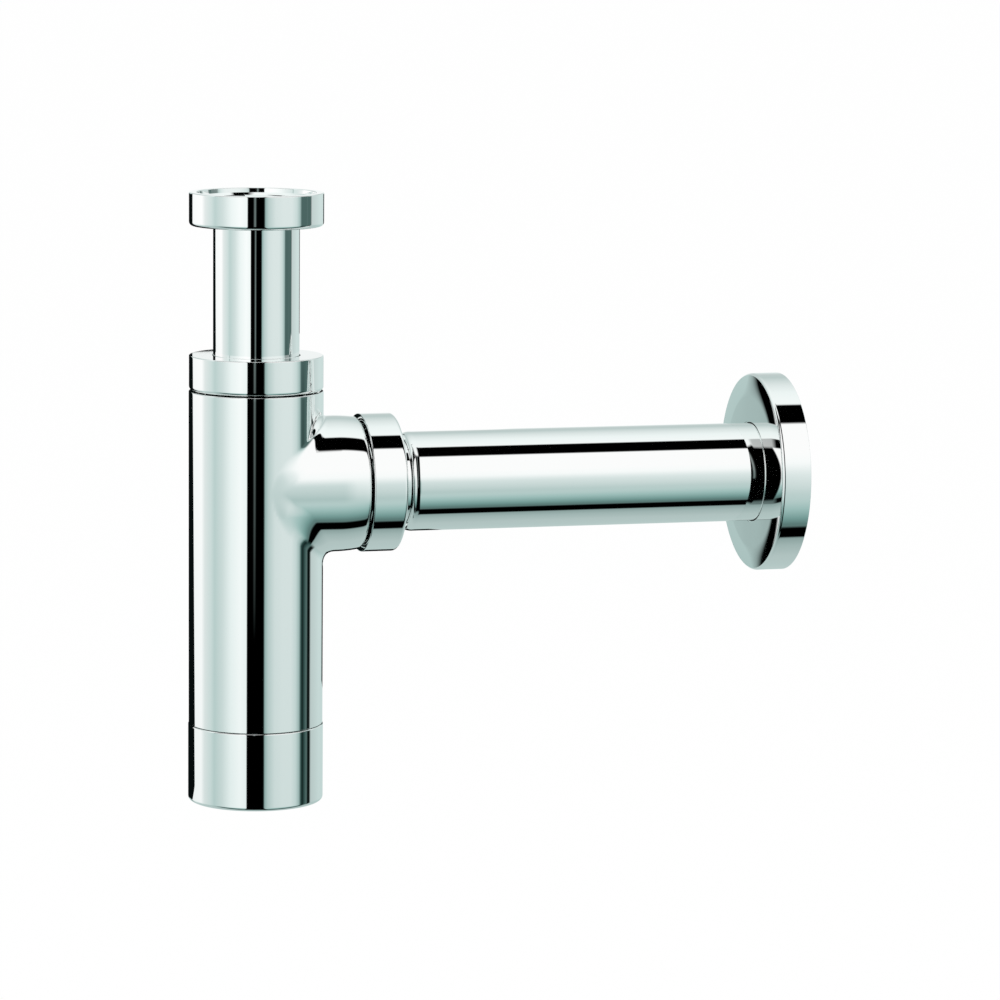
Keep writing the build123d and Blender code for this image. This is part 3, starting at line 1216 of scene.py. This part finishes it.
        # The upright pieces mirror these sides, by the angle round from the camera's side. A haze keeps the
        # dark band on the right from going darker, other than in directions that point down a little.
        sides = graph.ramp(around, [
            (-180, grey(0.94, 0.03)), (-168, grey(0.92, 0.04)), (-159, grey(0.78, 0.09)),
            (-145.1, grey(0.77, 0.09)), (-144.4, black), (-138.8, black),
            (-137.4, grey(0.97, 0.02)), (-104, grey(0.985, 0.01)), (-95, grey(0.90, 0.035)),
            (-80, grey(0.86, 0.065)), (-72, grey(0.81, 0.085)), (-56, grey(0.86, 0.06)),
            (-40, grey(0.95, 0.04)), (-24, grey(0.98, 0.025)), (-12.6, grey(0.96, 0.035)),
            (17.6, grey(0.66, 0.12)), (24, grey(0.79, 0.08)), (36, grey(0.87, 0.055)),
            (50, grey(0.885, 0.05)), (66, grey(0.885, 0.05)), (76, grey(0.84, 0.07)),
            (83, grey(0.72, 0.10)), (87, grey(0.30, 0.12)), (91, grey(0.12, 0.05)),
            (95, grey(0.30, 0.11)), (101, grey(0.44, 0.10)), (103.5, grey(0.06, 0.03)),
            (109, grey(0.06, 0.03)), (112.5, grey(0.80, 0.06)), (142, grey(0.86, 0.07)),
            (160, grey(0.85, 0.07)), (180, grey(0.86, 0.06)),
        ])
        haze = graph.math(
            "MULTIPLY", graph.spread(z, -0.15, -0.1, 0.0, 1.0), graph.math("GREATER_THAN", around, 0.6))
        sides = graph.mix("LIGHTEN", haze, sides, grey(0.39, 0.1))
        level_tone = tuple(1 / part for part in grey(0.91, 0.04))
        depths = graph.times(sides, graph.ramp(lift, sweep), level_tone)
        high = graph.spread(z, 0.02, 0.3, 0.0, 1.0, smooth=True)
        low = graph.spread(z, -0.3, -0.5, 0.0, 1.0, smooth=True)
        room = graph.mix("MIX", graph.math("MAXIMUM", high, low), depths, heights)

        # A black stripe with a thin glint stands on the camera's side and ends where directions grow steep.
        # A ray that has met two mirrors sees it taller.
        lateral = graph.share(graph.math("ARCSINE", right))
        stripe = graph.ramp(lateral, [(-12.4, white), (-11.8, black), (16.8, black), (17.4, white)])
        glint = graph.ramp(lateral, [
            (-1.6, black), (0.2, grey(0.55, 0.03)), (1.4, grey(0.55, 0.03)), (3.0, black)])
        stripe = graph.mix("LIGHTEN", graph.spread(z, -0.17, -0.1, 0.0, 1.0), stripe, glint)
        ahead = graph.math("GREATER_THAN", toward, 0.0)
        steep = graph.math("ABSOLUTE", z)
        bounces = graph.add("ShaderNodeLightPath").outputs["Ray Depth"]
        mirrored_twice = graph.math("GREATER_THAN", bounces, 1.5)
        tall = graph.math("MULTIPLY", mirrored_twice, graph.spread(steep, 0.9, 0.94, 1.0, 0.0))
        held = graph.math("MAXIMUM", tall, graph.spread(steep, 0.36, 0.5, 1.0, 0.0, smooth=True))
        return graph.mix("MULTIPLY", graph.math("MULTIPLY", ahead, held), room, stripe)


def node_size(node: str) -> tuple[Vector, Vector]:
    """Lowest and highest corner of a CAD node, in millimetres."""
    low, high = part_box(node)
    return low / MM, high / MM


def build_nuts(shop: Workshop, union: ThreadForm, top: float, reach: float, outlet_z: float) -> None:
    """Makes the three round nuts at the places of their CAD nodes.

    Args:
        shop: What the pieces are made with.
        union: The thread in all three.
        top: Height of the shoulder below the top neck.
        reach: Distance along the outlet of the shoulder behind the branch's neck.
        outlet_z: Height of the outlet's axis.
    """
    lead = FIT.union_lead * union.pitch
    low, high = node_size("inlet_nut")
    UnionNut(
        "inlet_nut", Mouth.UP, low.z, high.z, high.x, union, thread_start=-0.1, mouth_round=0.4,
        floor_round=1.5, thread_turns=1.25, relief_top=-low.z, lip_flare=0.18).build(shop)
    low, high = node_size("top_nut")
    UnionNut(
        "top_nut", Mouth.DOWN, low.z, high.z, high.x, union,
        thread_start=top + FIT.union_start + lead, mouth_round=1.5, floor_round=0.4).build(shop)
    low, high = node_size("outlet_nut")
    UnionNut(
        "outlet_nut", Mouth.DOWN, low.x, high.x, high.y, union,
        thread_start=reach + FIT.union_start + lead, mouth_round=0.4, floor_round=1.5).build(shop, outlet_z)


def build_metalwork(shop: Workshop) -> None:
    """Makes the casting, the cup, the sleeve, the flange and the nuts at the places of their CAD nodes.

    Args:
        shop: What the pieces are made with.
    """
    union = ThreadForm(radius=20.955, pitch=2.309)
    fine = ThreadForm(radius=23.0, pitch=1.5)
    body_low, body_high = node_size("trap_body")
    cup_low, cup_high = node_size("cup")
    pipe_low, pipe_high = node_size("outlet_pipe")
    outlet_z = (pipe_low.z + pipe_high.z) / 2
    neck = FIT.neck_turns * union.pitch
    top, bottom = body_high.z - neck, cup_high.z + FIT.cup_gap
    reach = body_high.x - neck

    BodyCasting(
        top=top, bottom=bottom, outlet_z=outlet_z, spigot_end=body_low.z, neck_top=body_high.z,
        neck_end=body_high.x, union=union, cup_thread=fine, branch_reach=reach).build(shop)
    Cup(
        low=cup_low.z, high=cup_high.z, radius=cup_high.x, thread=fine,
        thread_start=bottom - FIT.cup_start - fine.pitch / 2, thread_turns=FIT.cup_inner_turns,
        ledge=body_low.z - FIT.cup_ledge).build(shop)

    low, high = node_size("cover_sleeve")
    sleeve_r = high.y
    Sleeve(start=low.x, end=high.x, radius=sleeve_r, bore=pipe_high.y + FIT.slide_gap).build(shop, outlet_z)
    low, high = node_size("wall_flange")
    WallFlange(face=low.x, back=high.x, radius=high.y, hole=sleeve_r + FIT.slide_gap).build(shop, outlet_z)
    build_nuts(shop, union, top, reach, outlet_z)


def main() -> None:
    """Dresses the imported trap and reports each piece."""
    logging.basicConfig(level=logging.INFO, format="%(message)s")
    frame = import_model()
    cad_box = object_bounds()
    bpy.context.scene.view_settings.view_transform = "Standard"

    surface = surface_group()
    finishes = {
        Slot.CHROME: CHROME.build(surface),
        Slot.RUBBER: RUBBER.build(surface),
        Slot.PLASTIC: PLASTIC.build(surface),
    }
    record = frame["record"]
    slots = {row["node"]: Slot(row["material_slot"]) for row in record["subparts"]}
    for name, node in frame["nodes"].items():
        node.data.materials.clear()
        node.data.materials.append(finishes[slots[name]])
        log.info("dressed %s in %s", name, slots[name].value)
    bodies = {node: body for body, nodes in record["behaviour"]["bodies"].items() for node in nodes}
    build_metalwork(Workshop(Lathe(), finishes, bodies))

    studio = Studio()
    studio.add_camera()
    studio.add_lamp()
    studio.add_floor(cad_box[0].z)
    studio.add_flags()
    studio.add_world()


if __name__ == "__main__":
    main()
